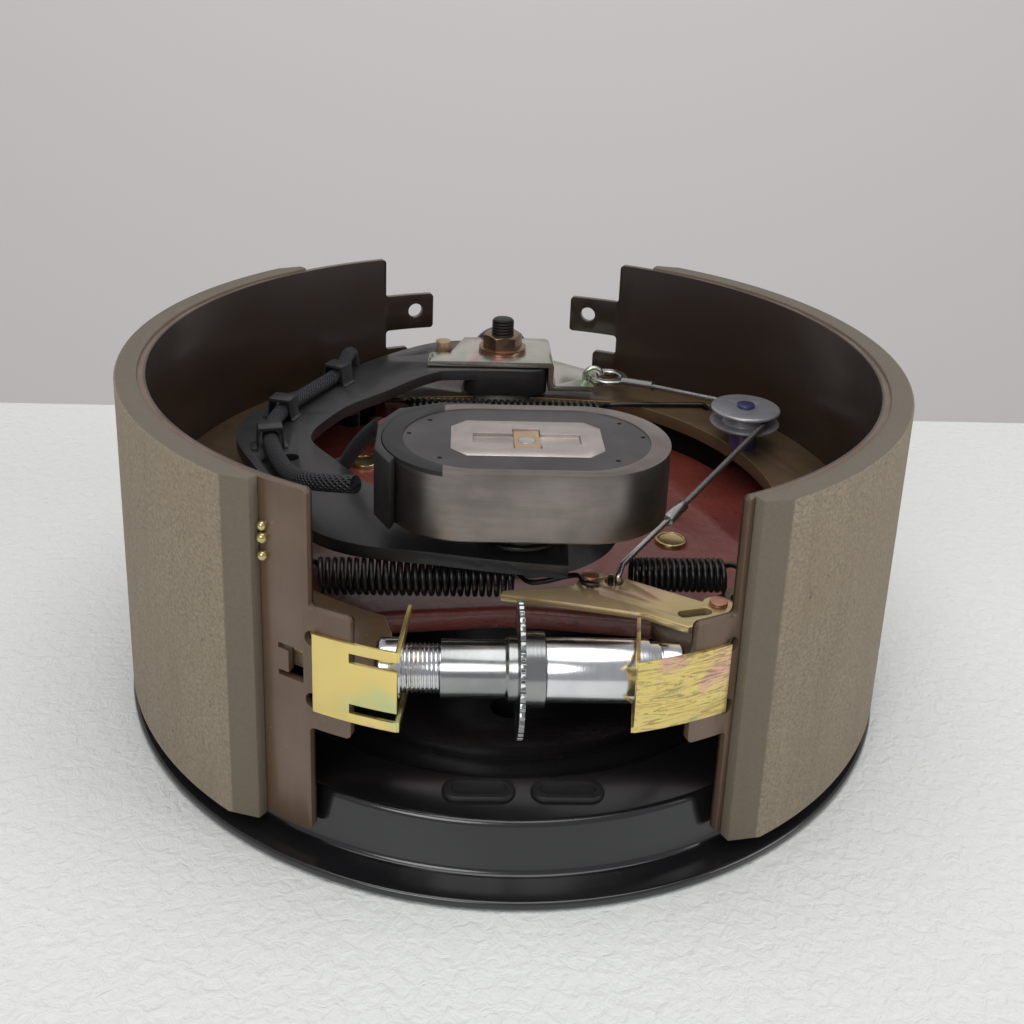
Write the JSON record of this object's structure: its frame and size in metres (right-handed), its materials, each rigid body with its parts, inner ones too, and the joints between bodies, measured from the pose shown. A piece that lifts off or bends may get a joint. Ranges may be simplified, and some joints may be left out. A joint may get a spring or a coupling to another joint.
{
  "type": "electric trailer brake assembly",
  "caption": "Electric trailer brake backing assembly: red cast spider on a black dust shield, two brown shoes with grey linings, magnet on an arm, and a cable-driven self-adjuster.",
  "frame": {"origin": "centre of the spindle bore at the back mounting face", "axes": "+Z along the spindle axis towards the open side with the magnet, +Y towards the anchor post, +X towards the long secondary shoe"},
  "size_m": [0.3108, 0.3108, 0.1355],
  "materials": {
    "table_brown": "satin",
    "lining_stone": "matte",
    "web_brown": "satin",
    "shield_black": "satin",
    "casting_red": "satin",
    "black_paint": "satin",
    "zinc": "satin",
    "yellow_zinc": "satin",
    "bare_steel": "satin",
    "spring_steel": "satin",
    "copper_pin": "satin",
    "brass_cap": "satin",
    "black_rubber": "matte",
    "potting": "matte",
    "braid": "matte",
    "red_lead": "satin",
    "cable_steel": "satin"
  },
  "bodies": {
    "backing": {"dust_shield": "shield_black", "slot_plugs": "black_rubber", "shield_rivets": "zinc", "spider": "casting_red", "casting_caps": "brass_cap", "anchor_post": "zinc", "anchor_nut": "yellow_zinc", "anchor_bracket": "zinc", "harness_lead": "braid", "harness_grommet": "black_rubber"},
    "arm": {"magnet_arm": "black_paint", "stop_pin": "yellow_zinc", "magnet_post": "zinc", "harness_sleeve": "braid", "harness_branch": "braid", "magnet_lead": "red_lead", "magnet_spring": "spring_steel"},
    "magnet": {"magnet_case": "bare_steel", "magnet_face": "potting", "pole_plate": "bare_steel", "magnet_clip": "yellow_zinc", "wire_boot": "black_rubber"},
    "secondary_shoe": {"secondary_table": "table_brown", "secondary_lining": "lining_stone", "secondary_web": "web_brown", "secondary_clip": "zinc", "adjuster_tube": "zinc", "lever_pivot": "copper_pin", "guide_post": "copper_pin", "cable_eye": "zinc", "adjuster_cable": "cable_steel", "cable_ferrule": "zinc", "cable_hook": "zinc", "shoe_return_spring": "spring_steel", "lever_return_spring": "spring_steel"},
    "star_wheel": {"star_wheel_nut": "zinc"},
    "screw": {"adjuster_screw": "zinc"},
    "primary_shoe": {"primary_table": "table_brown", "primary_lining": "lining_stone", "primary_web": "web_brown", "primary_clip": "zinc", "adjuster_spring": "spring_steel"},
    "lever": {"adjust_lever": "yellow_zinc", "lever_spring_pin": "copper_pin"},
    "guide": {"cable_guide": "zinc"}
  },
  "joints": [
    {"name": "arm_swing", "type": "hinge", "parent": "backing", "child": "arm", "pos_m": [0, 0.115, 0.088], "axis": [0, 0, 1], "range_deg": [-3, 1]},
    {"name": "magnet_press", "type": "slide", "parent": "arm", "child": "magnet", "axis": [0, 0, 1], "range_m": [-0.002, 0], "stiffness_N_per_m": 4000, "springref_m": 0.004, "deforming": ["magnet_spring"]},
    {"name": "secondary_spread", "type": "hinge", "parent": "backing", "child": "secondary_shoe", "pos_m": [0, 0.115, 0.072], "axis": [0, 0, 1], "range_deg": [0, 0.8], "deforming": ["shoe_return_spring", "adjuster_cable"]},
    {"name": "star_wheel_turn", "type": "hinge", "parent": "secondary_shoe", "child": "star_wheel", "pos_m": [0, -0.1286, 0.072], "axis": [1, 0, 0], "range_deg": [0, 720]},
    {"name": "screw_travel", "type": "slide", "parent": "secondary_shoe", "child": "screw", "axis": [-1, 0, 0], "range_m": [0, 0.003], "deforming": ["shoe_return_spring", "adjuster_spring"]},
    {"name": "primary_spread", "type": "hinge", "parent": "screw", "child": "primary_shoe", "pos_m": [-0.0447, -0.1286, 0.072], "axis": [0, 0, 1], "range_deg": [0, 0.6], "deforming": ["adjuster_spring", "shoe_return_spring"]},
    {"name": "lever_pull", "type": "hinge", "parent": "secondary_shoe", "child": "lever", "pos_m": [0.0666, -0.109, 0.0837], "axis": [0, 0, 1], "range_deg": [-2.5, 0], "deforming": ["lever_return_spring", "adjuster_spring"]},
    {"name": "guide_turn", "type": "hinge", "parent": "secondary_shoe", "child": "guide", "pos_m": [0.108, 0.045, 0.0887], "axis": [0, 0, 1], "continuous": true}
  ],
  "couplings": [
    {"joint": "star_wheel_turn", "follows": "screw_travel", "rad_per_m": 4188.8}
  ]
}
